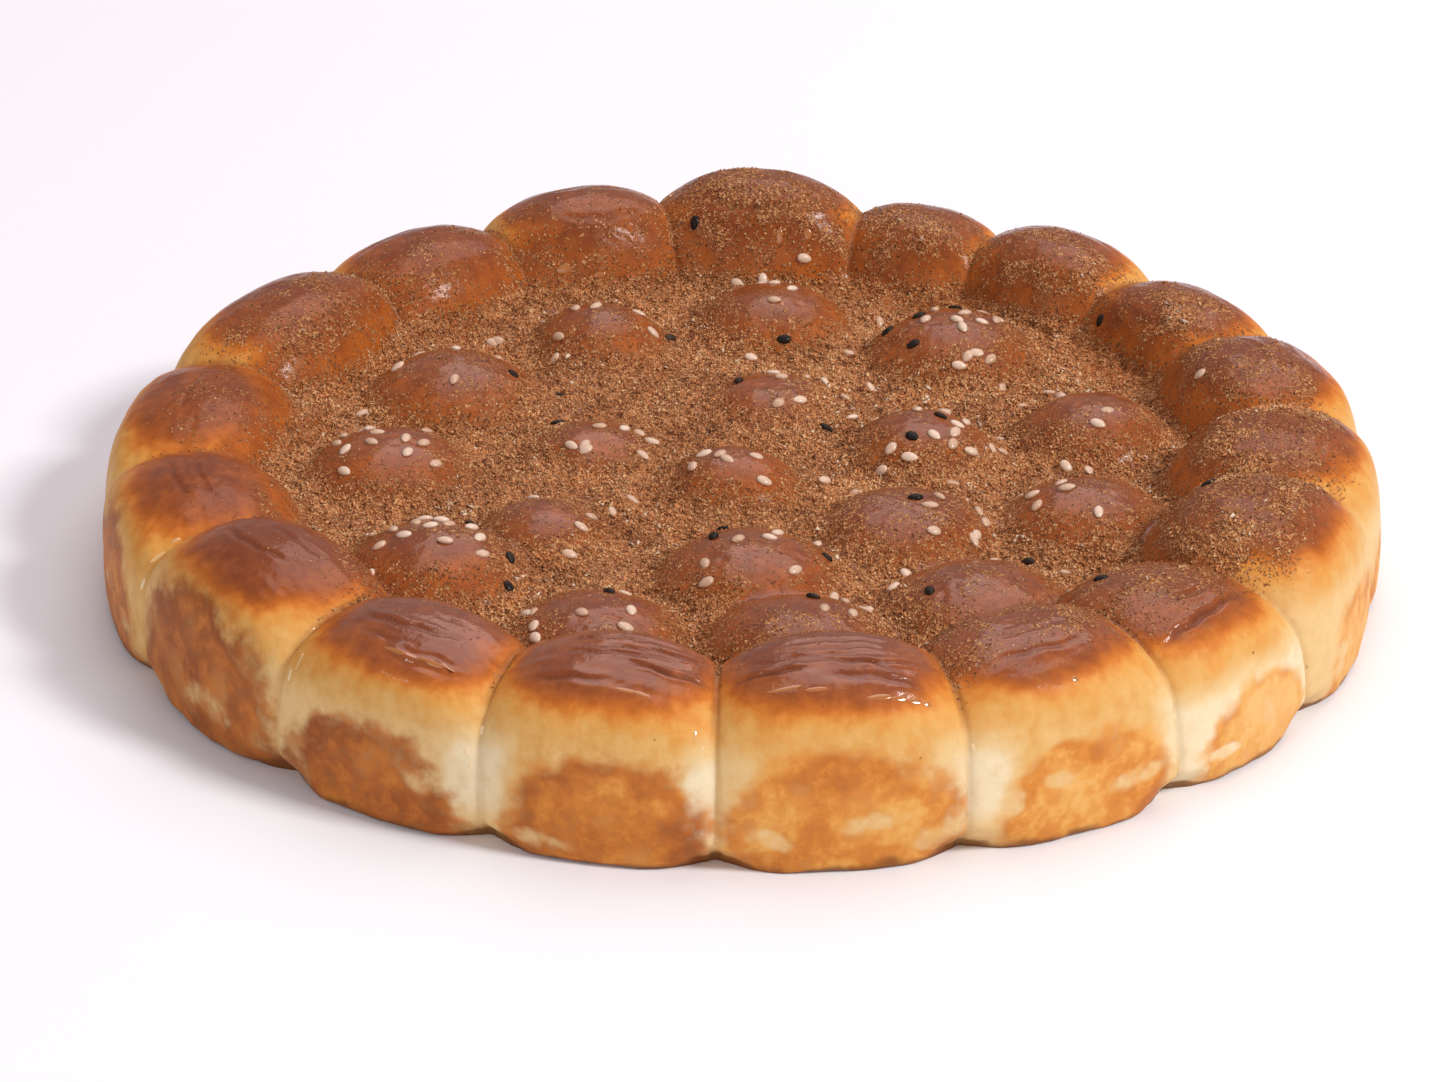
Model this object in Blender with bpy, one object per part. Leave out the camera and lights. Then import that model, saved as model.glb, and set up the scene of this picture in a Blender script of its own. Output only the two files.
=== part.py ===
"""A round pull-apart bread: small balls of soft dough, baked side by side in a round pan.

Rim rolls stand in a ring against the pan's wall, which leaves their outer sides flat. Two inner
rings and a middle roll fill the pan and rise less. The rolls have grown together, so the loaf is
one solid, and sesame seeds are baked on to it. It rests on its flat base at z = 0.
"""

import math
import random

import bmesh
import bpy
from mathutils import Matrix, Vector
from mathutils.bvhtree import BVHTree

# The pan's wall, in metres: the loaf draws in a little towards its base
WALL_RADIUS = 0.1332
BASE_TUCK = 0.0008
TUCK_HEIGHT = 0.014
SHOULDER = 0.0065

# Rim rolls, in metres
RIM_DISTANCE = 0.1115
RIM_CROWN = 0.0369
RIM_REACH = 0.0235
RIM_OVERLAP = 1.42
RIM_BELLY = 0.0105
RIM_SLUMP = 0.18

# Inner rolls, in metres
INNER_BELLY = 0.0065

# The floor of the valleys between the rolls: its distance from the middle and its height, in metres
VALLEY_FLOOR = ((0.0, 0.0202), (0.060, 0.0198), (0.084, 0.0196), (0.097, 0.0213), (0.110, 0.0218))

# How square a roll is in plan outward and inward, and in section: 2 is an ellipse
RIM_POWERS = (2.5, 2.1, 2.3)
INNER_POWERS = (2.1, 2.1, 2.05)

# How far below its belly a roll would reach if its foot were round, in metres
BELOW_BELLY = 0.022

# Unevenness of the rolls, as a share of their size, and their turn in degrees
SIZE_SPREAD = 0.025
TURN_SPREAD = 4.0

# Sesame seeds, in metres
SEED_LENGTH = 0.0031
SEED_WIDTH = 0.0020
SEED_THICKNESS = 0.0013
SEED_SUNK = 0.38
SEED_CLEARANCE = 0.0034
SEED_SPREAD = 0.0075

# Facets of each shape
RIM_FACETS = (20, 12)
INNER_FACETS = (16, 10)
SEED_FACETS = (5, 3)
CORE_FACETS = 36
SHORTEST_EDGE = 0.0001
SHARP_ANGLE = math.radians(32.0)

LOAF_DRAW = 11
SEED_DRAW = 5

# Each rim roll, anticlockwise from the bearing where the first one starts: its share of the rim
# in degrees and then, in millimetres, its crown's height, outward shift and anticlockwise lean
# against the common ones, and how far from the middle its inner edge lies
RIM_START = -152.9
RIM_ROLLS = (
    (21.3, 0.5, 1.0, 0.0, 93),
    (19.9, -1.5, 1.0, 0.0, 95),
    (19.9, -0.5, 0.0, 0.0, 94),
    (20.9, 0.5, 0.0, 0.0, 93),
    (20.1, -0.5, 0.0, -1.5, 91),
    (18.4, -3.0, -0.5, -4.0, 87),
    (18.9, 1.0, -1.5, 0.0, 88),
    (18.9, -0.5, -2.0, 0.0, 87),
    (18.6, 0.0, -1.5, 0.0, 93),
    (19.5, -2.0, -0.5, 0.0, 98),
    (18.2, 0.0, 0.5, 0.5, 98),
    (16.6, -1.0, 0.0, 0.0, 98),
    (20.7, 5.0, 0.0, 0.0, 96),
    (19.6, 2.5, 0.0, 0.0, 96),
    (19.9, -1.0, -0.5, 0.0, 95),
    (23.9, -0.5, -1.0, 0.0, 94),
    (23.4, -4.5, 0.0, 0.0, 94),
    (21.3, -4.0, 0.5, 0.0, 92),
)

# Each inner roll: its bearing in degrees, its distance from the middle, its crown's height and its
# radius in millimetres, its pale and its dark seeds, and where they gather, in millimetres off its crown
INNER_ROLLS = (
    (116, 72, 28.5, 19.0, 6, 3, (0, 2)),
    (85, 77, 28.5, 22.5, 7, 1, (2, 0)),
    (53, 76, 29.5, 23.5, 10, 4, (0, 2)),
    (14, 76, 29.0, 20.5, 1, 0, (4, -10)),
    (-19, 74, 29.0, 22.0, 7, 1, (-9, -6)),
    (-54, 79, 28.5, 25.0, 3, 1, (-9, -3)),
    (-82, 80, 28.5, 24.5, 2, 2, (9, -1)),
    (-110, 81, 27.0, 23.5, 7, 1, (-2, 2)),
    (-141, 78, 29.0, 23.0, 15, 5, (-1, 3)),
    (-177, 73, 28.5, 23.0, 13, 0, (-2, -1)),
    (150, 72, 28.5, 24.5, 4, 0, (-5, 2)),
    (16, 39, 28.0, 20.0, 14, 2, (3, -5)),
    (81, 34, 25.5, 19.5, 9, 2, (7, -3)),
    (162, 33, 24.5, 18.5, 5, 1, (4, 0)),
    (-142, 51, 26.0, 18.5, 4, 0, (10, -4)),
    (-88, 51, 28.5, 24.0, 4, 2, (-3, 0)),
    (-42, 44, 28.0, 24.0, 5, 1, (4, -2)),
    (-103, 7, 27.5, 18.5, 6, 0, (-1, -2)),
)


def new_collection(name):
    """A new collection in the scene."""
    collection = bpy.data.collections.new(name)
    bpy.context.scene.collection.children.link(collection)
    return collection


def new_object(name, mesh_data, collection):
    """A mesh object of the bmesh, in the collection. The bmesh is freed."""
    mesh = bpy.data.meshes.new(name)
    mesh_data.to_mesh(mesh)
    mesh_data.free()
    shape = bpy.data.objects.new(name, mesh)
    collection.objects.link(shape)
    return shape


def clear_scene():
    """Removes every object in the scene."""
    for shape in list(bpy.data.objects):
        bpy.data.objects.remove(shape, do_unlink=True)


def on_bearing(bearing, distance):
    """The point at that bearing, in degrees, and distance from the loaf's middle."""
    angle = math.radians(bearing)
    return Vector((distance * math.cos(angle), distance * math.sin(angle), 0.0))


def wall_radius(height):
    """The pan wall's radius: the loaf draws in over its lowest part."""
    return WALL_RADIUS - BASE_TUCK * max(0.0, 1.0 - height / TUCK_HEIGHT) ** 2


def pressed(point):
    """The point, held inside the pan's wall with a rounded shoulder."""
    distance = math.hypot(point.x, point.y)
    start = wall_radius(max(0.0, point.z)) - SHOULDER
    if distance <= start:
        return point
    held = start + SHOULDER * (1.0 - math.exp((start - distance) / SHOULDER))
    return Vector((point.x * held / distance, point.y * held / distance, point.z))


def puffed(direction, powers):
    """The unit ball's point in that direction, squared off as risen dough is."""
    outer, inner, up = powers
    power = outer if direction.x > 0.0 else inner
    plan = (abs(direction.x) ** power + abs(direction.y) ** power) ** (1.0 / power)
    size = (plan**up + abs(direction.z) ** up) ** (1.0 / up)
    return direction / size


def dough_roll(name, centre, bearing, reach, width, crown, belly, lean, slump, powers, facets, collection):
    """A risen ball of dough, half its width across the bearing. Its reach is outward and inward,
    its lean is how far its crown moves sideways, and its slump is how much wider its foot is."""
    mesh_data = bmesh.new()
    bmesh.ops.create_uvsphere(mesh_data, u_segments=facets[0], v_segments=facets[1], radius=1.0)
    turn = Matrix.Rotation(math.radians(bearing), 3, "Z")
    for vert in mesh_data.verts:
        ball = puffed(vert.co.normalized(), powers)
        depth = reach[0] if ball.x > 0.0 else reach[1]
        rise = crown - belly if ball.z > 0.0 else BELOW_BELLY
        height = ball.z * rise + belly
        spread = 1.0 + slump * (1.0 - height / crown)
        side = ball.y * width * spread + lean * height / crown
        vert.co = pressed(centre + turn @ Vector((ball.x * depth * spread, side, height)))
    return new_object(name, mesh_data, collection)


def make_rim_rolls(draw, collection):
    """The ring of rolls that lean on the pan's wall."""
    bearing = RIM_START
    for number, (share, extra_height, shift, lean, inner_edge) in enumerate(RIM_ROLLS):
        middle = bearing + share / 2.0
        distance = RIM_DISTANCE + shift / 1000.0
        half_share = distance * math.radians(share) / 2.0
        size = 1.0 + draw.uniform(-SIZE_SPREAD, SIZE_SPREAD)
        dough_roll(
            f"rim_roll_{number + 1}",
            on_bearing(middle, distance),
            middle + draw.uniform(-TURN_SPREAD, TURN_SPREAD),
            (RIM_REACH * size, distance - inner_edge / 1000.0),
            half_share * RIM_OVERLAP,
            RIM_CROWN + extra_height / 1000.0,
            RIM_BELLY,
            lean / 1000.0,
            RIM_SLUMP,
            RIM_POWERS,
            RIM_FACETS,
            collection,
        )
        bearing += share


def make_inner_rolls(draw, collection):
    """The rolls inside the rim, which rise less."""
    for number, (bearing, distance, crown, radius, *_) in enumerate(INNER_ROLLS):
        turn = draw.uniform(-TURN_SPREAD, TURN_SPREAD)
        reach = radius / 1000.0 * (1.0 + draw.uniform(-SIZE_SPREAD, SIZE_SPREAD))
        width = radius / 1000.0 * (1.0 + draw.uniform(-SIZE_SPREAD, SIZE_SPREAD))
        dough_roll(
            f"inner_roll_{number + 1}",
            on_bearing(bearing, distance / 1000.0),
            bearing + turn,
            (reach, reach),
            width,
            crown / 1000.0,
            INNER_BELLY,
            0.0,
            0.0,
            INNER_POWERS,
            INNER_FACETS,
            collection,
        )


def core_ring(mesh_data, distance, height):
    """A ring of corners at that distance and height, which is the same corner again at the middle."""
    if distance == 0.0:
        return [mesh_data.verts.new((0.0, 0.0, height))] * CORE_FACETS
    turns = [360.0 * step / CORE_FACETS for step in range(CORE_FACETS)]
    return [mesh_data.verts.new(on_bearing(turn, distance) + Vector((0.0, 0.0, height))) for turn in turns]


def make_core(collection):
    """The crumb between the rolls, up to the floor of the valleys."""
    mesh_data = bmesh.new()
    profile = VALLEY_FLOOR + ((VALLEY_FLOOR[-1][0], -BELOW_BELLY), (0.0, -BELOW_BELLY))
    rings = [core_ring(mesh_data, distance, height) for distance, height in profile]
    for inner, outer in zip(rings, rings[1:]):
        for first in range(CORE_FACETS):
            second = (first + 1) % CORE_FACETS
            corners = (inner[first], outer[first], outer[second], inner[second])
            mesh_data.faces.new(tuple(dict.fromkeys(corners)))
    return new_object("bread", mesh_data, collection)


def fuse(shape, pieces, solver):
    """Joins every object of the collection to the shape, and removes them."""
    union = shape.modifiers.new("fuse", "BOOLEAN")
    union.operation = "UNION"
    union.operand_type = "COLLECTION"
    union.collection = pieces
    union.solver = solver
    graph = bpy.context.evaluated_depsgraph_get()
    fused = bpy.data.meshes.new_from_object(shape.evaluated_get(graph))
    shape.modifiers.remove(union)
    shape.data = fused
    for piece in list(pieces.objects):
        bpy.data.objects.remove(piece, do_unlink=True)
    bpy.data.collections.remove(pieces)


def cut_base(shape):
    """Cuts the shape off flat at z = 0."""
    mesh_data = bmesh.new()
    mesh_data.from_mesh(shape.data)
    cut = bmesh.ops.bisect_plane(
        mesh_data,
        geom=mesh_data.verts[:] + mesh_data.edges[:] + mesh_data.faces[:],
        plane_co=(0.0, 0.0, 0.0),
        plane_no=(0.0, 0.0, 1.0),
        clear_inner=True,
    )
    rim = [part for part in cut["geom_cut"] if isinstance(part, bmesh.types.BMEdge)]
    bmesh.ops.contextual_create(mesh_data, geom=rim)
    bmesh.ops.recalc_face_normals(mesh_data, faces=mesh_data.faces)
    mesh_data.to_mesh(shape.data)
    mesh_data.free()


def joined_to(face):
    """The faces that shared edges join to this one, step by step."""
    found = {face}
    waiting = [face]
    while waiting:
        for edge in waiting.pop().edges:
            fresh = set(edge.link_faces) - found
            found |= fresh
            waiting.extend(fresh)
    return found


def tidy_seams(shape):
    """Merges the slivers along a union's seams, and keeps the loaf's outer skin alone."""
    mesh_data = bmesh.new()
    mesh_data.from_mesh(shape.data)
    bmesh.ops.remove_doubles(mesh_data, verts=mesh_data.verts, dist=SHORTEST_EDGE)
    bmesh.ops.dissolve_degenerate(mesh_data, edges=mesh_data.edges, dist=SHORTEST_EDGE / 10.0)
    skin = joined_to(max(mesh_data.faces, key=lambda face: face.calc_area()))
    loose = [face for face in mesh_data.faces if face not in skin]
    bmesh.ops.delete(mesh_data, geom=loose, context="FACES")
    mesh_data.to_mesh(shape.data)
    mesh_data.free()


def seed_spots(draw):
    """Yields where each seed lies: spread round its roll's crown, clear of the others."""
    taken = []
    for bearing, distance, _, _, pale, dark, (off_x, off_y) in INNER_ROLLS:
        heart = on_bearing(bearing, distance / 1000.0) + Vector((off_x, off_y, 0.0)) / 1000.0
        placed = 0
        while placed < pale + dark:
            spot = heart + Vector((draw.gauss(0.0, SEED_SPREAD), draw.gauss(0.0, SEED_SPREAD), 0.0))
            if any((spot - other).length < SEED_CLEARANCE for other in taken):
                continue
            taken.append(spot)
            placed += 1
            yield spot, draw.uniform(0.0, math.pi)


def make_seeds(crust, draw, collection):
    """Sesame seeds, each sunk a little in the crust that it lies on."""
    for number, (spot, turn) in enumerate(seed_spots(draw)):
        place, normal, _, _ = crust.ray_cast(spot + Vector((0.0, 0.0, 1.0)), Vector((0.0, 0.0, -1.0)))
        stand = normal.to_track_quat("Z", "Y").to_matrix().to_4x4()
        size = Matrix.Diagonal((SEED_LENGTH / 2.0, SEED_WIDTH / 2.0, SEED_THICKNESS / 2.0, 1.0))
        rise = Matrix.Translation((0.0, 0.0, SEED_THICKNESS * (0.5 - SEED_SUNK)))
        mesh_data = bmesh.new()
        bmesh.ops.create_uvsphere(
            mesh_data,
            u_segments=SEED_FACETS[0],
            v_segments=SEED_FACETS[1],
            radius=1.0,
            matrix=Matrix.Translation(place) @ stand @ rise @ Matrix.Rotation(turn, 4, "Z") @ size,
        )
        new_object(f"seed_{number + 1}", mesh_data, collection)


def crust_material():
    """Glazed golden-brown crust."""
    material = bpy.data.materials.new("crust")
    material.use_nodes = True
    shader = material.node_tree.nodes["Principled BSDF"]
    shader.inputs["Base Color"].default_value = (0.46, 0.17, 0.045, 1.0)
    shader.inputs["Roughness"].default_value = 0.35
    shader.inputs["Metallic"].default_value = 0.0
    return material


def main():
    clear_scene()
    loaf_parts = new_collection("pull_apart_bread")
    rolls = new_collection("rolls")
    bread = make_core(loaf_parts)
    draw = random.Random(LOAF_DRAW)
    make_rim_rolls(draw, rolls)
    make_inner_rolls(draw, rolls)
    fuse(bread, rolls, "EXACT")
    cut_base(bread)
    tidy_seams(bread)
    seeds = new_collection("seeds")
    crust = BVHTree.FromObject(bread, bpy.context.evaluated_depsgraph_get())
    make_seeds(crust, random.Random(SEED_DRAW), seeds)
    fuse(bread, seeds, "MANIFOLD")
    tidy_seams(bread)
    bread.data.materials.clear()
    bread.data.materials.append(crust_material())
    bread.data.shade_smooth()
    bread.data.set_sharp_from_angle(angle=SHARP_ANGLE)


main()
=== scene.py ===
import math
import random
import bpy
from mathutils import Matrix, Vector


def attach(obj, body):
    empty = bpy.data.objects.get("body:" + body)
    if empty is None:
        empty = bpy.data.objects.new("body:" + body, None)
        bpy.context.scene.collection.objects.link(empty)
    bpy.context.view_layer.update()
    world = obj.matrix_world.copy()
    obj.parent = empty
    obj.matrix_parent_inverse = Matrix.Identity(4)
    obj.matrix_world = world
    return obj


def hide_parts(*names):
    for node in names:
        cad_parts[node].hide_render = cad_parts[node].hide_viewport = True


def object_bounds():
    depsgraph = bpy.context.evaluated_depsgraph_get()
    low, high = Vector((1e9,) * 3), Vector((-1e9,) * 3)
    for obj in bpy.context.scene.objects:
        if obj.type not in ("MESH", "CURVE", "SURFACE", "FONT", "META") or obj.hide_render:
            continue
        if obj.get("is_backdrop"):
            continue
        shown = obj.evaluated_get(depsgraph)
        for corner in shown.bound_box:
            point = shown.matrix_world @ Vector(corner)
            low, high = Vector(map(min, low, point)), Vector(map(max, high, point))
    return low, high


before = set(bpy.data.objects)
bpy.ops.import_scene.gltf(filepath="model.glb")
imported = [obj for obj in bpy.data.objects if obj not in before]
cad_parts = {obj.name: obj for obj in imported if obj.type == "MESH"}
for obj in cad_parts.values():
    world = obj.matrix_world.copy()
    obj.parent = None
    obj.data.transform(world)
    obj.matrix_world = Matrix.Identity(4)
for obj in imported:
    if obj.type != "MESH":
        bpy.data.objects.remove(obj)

from types import SimpleNamespace

import bpy
import numpy as np
from mathutils import Euler, Vector, noise

CAD_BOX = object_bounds()

# The photograph's camera, in metres and degrees
CAMERA_PLACE = (0, -0.83974608, 0.41344086)
CAMERA_TURN = (64.00487, -0.551907, 0.573173)
CAMERA_LENS = 112.9
SENSOR_WIDTH = 36

# The loaf's form, as the solid has it, in metres. A roll's powers say how square it is in plan
# outward and inward, and in section: 2 is an ellipse
WALL_RADIUS = 0.1332
BASE_TUCK = 0.0008
TUCK_HEIGHT = 0.014
SHOULDER = 0.0065
RIM_DISTANCE = 0.1115
RIM_CROWN = 0.0369
RIM_REACH = 0.0235
RIM_OVERLAP = 1.42
RIM_BELLY = 0.0105
RIM_SLUMP = 0.18
INNER_BELLY = 0.0065
VALLEY_FLOOR = ((0, 0.0202), (0.06, 0.0198), (0.084, 0.0196), (0.097, 0.0213), (0.11, 0.0218))
RIM_POWERS = (2.5, 2.1, 2.3)
INNER_POWERS = (2.1, 2.1, 2.05)
BELOW_BELLY = 0.022
SIZE_SPREAD = 0.025
TURN_SPREAD = 4
LOAF_DRAW = 11

# Sesame seeds, in metres: length, width and thickness, how these vary, and how they lie
SEED_SIZE = (0.0033, 0.0022, 0.0013)
SEED_SPANS = ((0.9, 1.08), (0.92, 1.08), (0.9, 1.1))
SEED_SUNK = 0.38
SEED_CLEARANCE = 0.0034
SEED_SPREAD = 0.0075
SEED_DRAW = 5

# Each rim roll, anticlockwise from where the first one starts: its share of the rim in degrees and,
# in millimetres, its crown's height, outward shift and anticlockwise lean against the common ones,
# and how far from the middle its inner edge lies
RIM_START = -152.9
RIM_ROLLS = (
    (21.3, 0.5, 1, 0, 93), (19.9, -1.5, 1, 0, 95), (19.9, -0.5, 0, 0, 94), (20.9, 0.5, 0, 0, 93),
    (20.1, -0.5, 0, -1.5, 91), (18.4, -3, -0.5, -4, 87), (18.9, 1, -1.5, 0, 88), (18.9, -0.5, -2, 0, 87),
    (18.6, 0, -1.5, 0, 93), (19.5, -2, -0.5, 0, 98), (18.2, 0, 0.5, 0.5, 98), (16.6, -1, 0, 0, 98),
    (20.7, 5, 0, 0, 96), (19.6, 2.5, 0, 0, 96), (19.9, -1, -0.5, 0, 95), (23.9, -0.5, -1, 0, 94),
    (23.4, -4.5, 0, 0, 94), (21.3, -4, 0.5, 0, 92),
)

# Each inner roll: its bearing in degrees, its distance from the middle, height and radius in
# millimetres, its pale and its dark seeds, and where they gather, in millimetres off its crown
INNER_ROLLS = (
    (116, 72, 28.5, 19, 6, 3, (0, 2)), (85, 77, 28.5, 22.5, 7, 1, (2, 0)),
    (53, 76, 29.5, 23.5, 10, 4, (0, 2)), (14, 76, 29, 20.5, 1, 0, (4, -10)),
    (-19, 74, 29, 22, 7, 1, (-9, -6)), (-54, 79, 28.5, 25, 3, 1, (-9, -3)),
    (-82, 80, 28.5, 24.5, 2, 2, (9, -1)), (-110, 81, 27, 23.5, 7, 1, (-2, 2)),
    (-141, 78, 29, 23, 15, 5, (-1, 3)), (-177, 73, 28.5, 23, 13, 0, (-2, -1)),
    (150, 72, 28.5, 24.5, 4, 0, (-5, 2)), (16, 39, 28, 20, 14, 2, (3, -5)),
    (81, 34, 25.5, 19.5, 9, 2, (7, -3)), (162, 33, 24.5, 18.5, 5, 1, (4, 0)),
    (-142, 51, 26, 18.5, 4, 0, (10, -4)), (-88, 51, 28.5, 24, 4, 2, (-3, 0)),
    (-42, 44, 28, 24, 5, 1, (4, -2)), (-103, 7, 27.5, 18.5, 6, 0, (-1, -2)),
)

# Folds in the rim rolls' skin: the roll's number and then, in millimetres, how far across the roll
# and outward the first end lies, the same for the last end, how far the middle bows outward, the
# depth, less than 0 for a ridge of syrup, and the half width
FOLDS = (
    (2, 3, 5.4, 18.5, 4.6, 1.4, 0.7, 0.51), (2, -2, 1.8, 17.5, -1.2, 0.6, 0.55, 0.54),
    (2, -10, -1, 8, -3.4, 0.4, 0.4, 0.54), (2, -16, 9.4, 2, 10.8, 1, 0.35, 0.68),
    (3, -13, 5.2, 13, 8.8, -1.4, 0.5, 0.54), (3, -19.5, 4.6, -6, 7.4, 0.2, 0.51, 0.5),
    (3, -4, 9.4, 16, 11, 0, 0.3, 0.82), (3, -12, 0.5, 10, 1.5, 0.8, 0.34, 0.54),
    (4, -14, 7, 6, 9, 0.8, 0.33, 0.61), (4, -10, 2, 8, 2.5, 1, 0.26, 0.61),
    (5, -18.5, 11, 10, 9.2, 1.3, 0.65, 0.61), (5, -10, 5, 8, 5, 1, 0.35, 0.68),
    (6, -12, 6, 12, 6, 1.5, 0.26, 0.75), (6, -8, 1, 10, 0, 1, 0.23, 0.61),
    (1, -12, 4, 12, 3, 2.5, 0.33, 0.75), (1, 0, 12.3, 16.5, 9.2, 1.4, -0.4, 0.6),
    (1, -8, 9, 6, 9, 1.2, 0.26, 0.61), (0, -12, 4, 10, 3, 2, 0.36, 0.68),
    (0, -6, -2, 12, -4, 1, 0.26, 0.68), (17, -10, 5, 8, 4, 1.5, 0.26, 0.68),
    (17, -12, 0, 10, -1, 1.5, 0.23, 0.61), (16, -10, 3, 10, 4, 1, 0.26, 0.68),
    (14, -10, 2, 8, 1, 1.5, 0.23, 0.68), (13, -12, -5, 9, -5, -3, 0.26, 0.75),
    (12, -12, -6, 12, -6, -3, 0.29, 0.75), (11, -9, -4, 9, -4, -3, 0.23, 0.68),
    (9, -10, -5, 10, -5, -3, 0.26, 0.75), (8, -12, 0, 10, 0, 3, 0.26, 0.68),
    (7, -10, 3, 12, 2, 2, 0.26, 0.68), (2, -9, 3.6, 12, 2.2, 0.9, 0.4, 0.5),
    (2, -4, -1.2, 15, -3.6, 0.4, 0.35, 0.5), (3, -15, 2.4, 4, 4.2, 0.6, 0.38, 0.5),
    (3, 0, 6.4, 17, 4.6, 0.8, 0.38, 0.5), (3, -6, -1.8, 12, -1, 0.6, 0.26, 0.5),
)

# How deep a fold is, in millimetres, whose groove gets the darkest painted shade, and how far its line
# wavers
FOLD_SHADE_DEPTH = 0.5
FOLD_WAVER = 0.22

# How each rim roll baked: how high the pan browned its wall in millimetres, how dark from 0 to 1, on
# how much of its half width, how far that is shifted anticlockwise and how pale the wall stays above
# it, how thick the spice lies on the crown, how glossy the glaze is, and how white the wall stays at
# its clockwise and its anticlockwise end
RIM_BAKES = (
    (30.5, 0.85, 1.12, 0, 0.03, 0.3, 0.6, 0.15, 0.35), (20.5, 0.8, 1.05, 0, 0.4, 0.35, 1, 0.4, 0.9),
    (22.5, 0.57, 1, 0.11, 0.12, 0.25, 1, 0.85, 1), (26, 0.41, 1.12, 0, 0.08, 0.3, 1, 0.5, 0.75),
    (21, 0.34, 0.98, 0.04, 0.16, 0.7, 0.85, 0.9, 0.8), (19, 0.17, 0.98, 0.12, 0.9, 0.8, 0.62, 0.75, 0.7),
    (22, 0.18, 0.86, 0.14, 0.52, 1, 0.5, 0.5, 0.4), (18, 0.25, 1.06, -0.1, 0.6, 0.95, 0.5, 0.5, 0.45),
    (25, 0.35, 0.9, 0.12, 0.35, 0.8, 0.7, 0.4, 0.2), (21, 0.52, 1.08, 0.06, 0.2, 0.85, 0.6, 0.3, 0.5),
    (26, 0.42, 0.84, -0.14, 0.3, 0.75, 0.65, 0.5, 0.2), (19, 0.6, 1.1, 0.04, 0.15, 0.75, 0.6, 0.2, 0.4),
    (27, 0.66, 1.02, -0.08, 0.15, 0.8, 0.65, 0.35, 0.15),
    (22, 0.5, 0.88, 0.16, 0.25, 0.65, 0.6, 0.6, 0.2), (24.5, 0.54, 1.1, 0, 0.1, 0.6, 0.5, 0.15, 0.35),
    (19.5, 0.62, 0.96, -0.12, 0.15, 0.7, 0.45, 0.45, 0.15),
    (23, 0.58, 1.04, 0.06, 0.05, 0.55, 0.35, 0.15, 0.25), (26, 0.74, 0.98, -0.12, 0, 0.25, 0.38, 0, 0),
)

# Where a wall did not touch the pan: the roll's number and then, in millimetres, how far across it
# and how high, the spot's half length and half height, and its slope. Then the spans for random spots
VOIDS = (
    (0, 4, 9, 7, 3, -0.1), (1, 15.6, 12.4, 5, 2.6, 0.2), (2, -9.5, 4.4, 5.5, 2.2, -0.05),
    (3, -15, 7.9, 4.8, 1.8, -0.28), (3, 4, 10.4, 4.4, 1.9, 0.06), (3, 17.6, 6.4, 5.2, 3.4, 0.35),
    (4, 10.5, 9.6, 6, 2, 0.05), (4, -6.4, 13.6, 3.2, 1.5, 0), (4, -16.4, 11, 2.6, 3, 0),
    (5, -8.9, 6.9, 4.2, 1.4, -0.1),
)
VOID_SPANS = ((-14, 14), (5, 12), (2.5, 6), (1.2, 2.4), (-0.15, 0.15))

# Beads of syrup on the crust: their bearing in degrees and, in millimetres, their distance from
# the middle, height, length along the rim, width and how far they turn from the rim in degrees
SYRUP = (
    (-86.3, 122.9, 34.1, 4.6, 1, 4), (-83.6, 123.8, 34.2, 3, 0.9, 0), (-78.4, 126, 33.2, 3.4, 1.2, 3),
    (-76.7, 126.1, 32.6, 2.4, 1.2, 0), (-75.3, 126.3, 31.8, 2, 1.1, -8),
    (-74.3, 126.3, 30.9, 1.3, 1.1, -10), (-61.2, 127.6, 31.3, 1.3, 1.1, 0),
    (-120.6, 124.9, 33, 3.6, 0.9, -2), (-118.9, 124.8, 32.7, 3.8, 1, -4),
    (-117.2, 124.5, 32.3, 3.8, 1, -8), (-115.8, 123.9, 31.8, 3, 0.9, -14),
    (-99.6, 124.1, 33.3, 3, 0.9, -6), (-98.2, 124.3, 32.9, 2.4, 0.9, -10),
    (-111.5, 127.8, 22.8, 1.2, 1.8, 0), (-112.4, 130.8, 19.4, 1.4, 1.6, 0),
    (-112.1, 130.5, 16.8, 1, 1.4, 0), (-93.6, 127.6, 27, 1.2, 1.8, 0), (-93, 128.8, 24.6, 1.2, 1.4, 0),
    (-70.7, 129.3, 22.4, 1.2, 1.5, 0), (-51.1, 129.1, 17.8, 1.2, 1.6, 0),
    (-49.2, 131.4, 8.5, 1.1, 1.6, 0), (-131.4, 121.5, 28.3, 1.2, 1.8, 0),
    (-129.6, 129.2, 26.4, 1.1, 3.4, 0), (-130.2, 129.9, 23.4, 1.1, 2.6, 0),
    (-154.8, 122.5, 27.9, 1.2, 2, 0), (-154.4, 126.6, 25.4, 1.2, 3.4, 0),
    (-154.1, 129.9, 20.7, 1, 2.4, 0), (85.5, 98.9, 32.6, 1, 3.4, 0), (81.8, 100.2, 33, 1.2, 2.4, 0),
    (109.7, 96.7, 25.7, 2.2, 1.2, 0), (114.3, 98.3, 27.4, 2.6, 2, 0), (0.5, 113.8, 35.2, 2, 1.2, 0),
    (-1, 119.3, 34.8, 2, 1.2, 0),
)

# Stray seeds on the rim rolls: bearing in degrees, distance in millimetres, and whether it is pale.
# Then how many lie in the valleys, how far from the middle, what share of them is pale, and how
# clean a stray seed is
STRAY_SEEDS = (
    (14.5, 99.2, True), (40.2, 102.1, False), (96.4, 103.5, False), (-20.6, 99, False),
    (-45.6, 98.6, False), (91, 95, True),
)
VALLEY_SEEDS = 48
VALLEY_REACH = 0.088
PALE_SHARE = 0.92
STRAY_CLEAN = 0.45

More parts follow.
